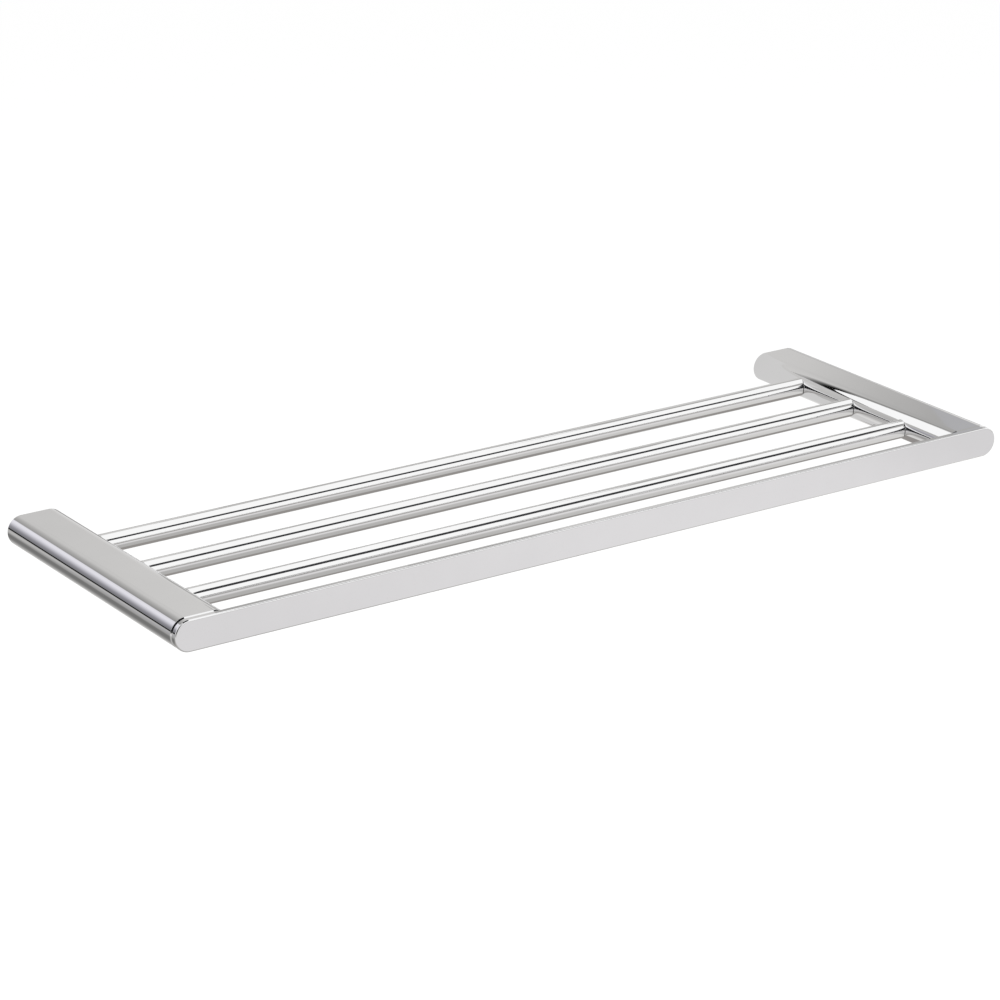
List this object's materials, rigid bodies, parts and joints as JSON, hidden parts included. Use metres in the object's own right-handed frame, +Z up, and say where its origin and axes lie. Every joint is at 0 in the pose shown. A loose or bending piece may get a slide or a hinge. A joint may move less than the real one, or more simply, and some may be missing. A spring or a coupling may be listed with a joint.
{
  "type": "towel rack with shelf",
  "caption": "Wall-mounted towel shelf: round chrome bars between two flat arms with half-round sides, closed at the front by a flat rail.",
  "frame": {"origin": "on the wall plane, midway between the two arms and at half their height", "axes": "+X along the rail to the right of someone facing the wall, +Y into the wall, +Z up"},
  "size_m": [0.625, 0.21, 0.02],
  "materials": {
    "rail_chrome": "mirror polished",
    "arm_chrome": "mirror polished",
    "tube_chrome": "mirror polished",
    "tube_plug_brass": "turned",
    "arm_plug_zinc": "cast",
    "bracket_zinc": "cast",
    "screw_steel": "plain"
  },
  "bodies": {
    "root": {"front_rail": "rail_chrome", "left_arm": "arm_chrome", "right_arm": "arm_chrome", "rear_tube": "tube_chrome", "middle_tube": "tube_chrome", "front_tube": "tube_chrome", "left_rear_tube_plug": "tube_plug_brass", "left_middle_tube_plug": "tube_plug_brass", "left_front_tube_plug": "tube_plug_brass", "right_rear_tube_plug": "tube_plug_brass", "right_middle_tube_plug": "tube_plug_brass", "right_front_tube_plug": "tube_plug_brass", "left_arm_plug": "arm_plug_zinc", "right_arm_plug": "arm_plug_zinc", "left_outer_rail_screw": "screw_steel", "left_inner_rail_screw": "screw_steel", "right_outer_rail_screw": "screw_steel", "right_inner_rail_screw": "screw_steel", "left_wall_bracket": "bracket_zinc", "right_wall_bracket": "bracket_zinc", "left_outer_grub_screw": "screw_steel", "left_inner_grub_screw": "screw_steel", "right_outer_grub_screw": "screw_steel", "right_inner_grub_screw": "screw_steel"}
  },
  "joints": []
}
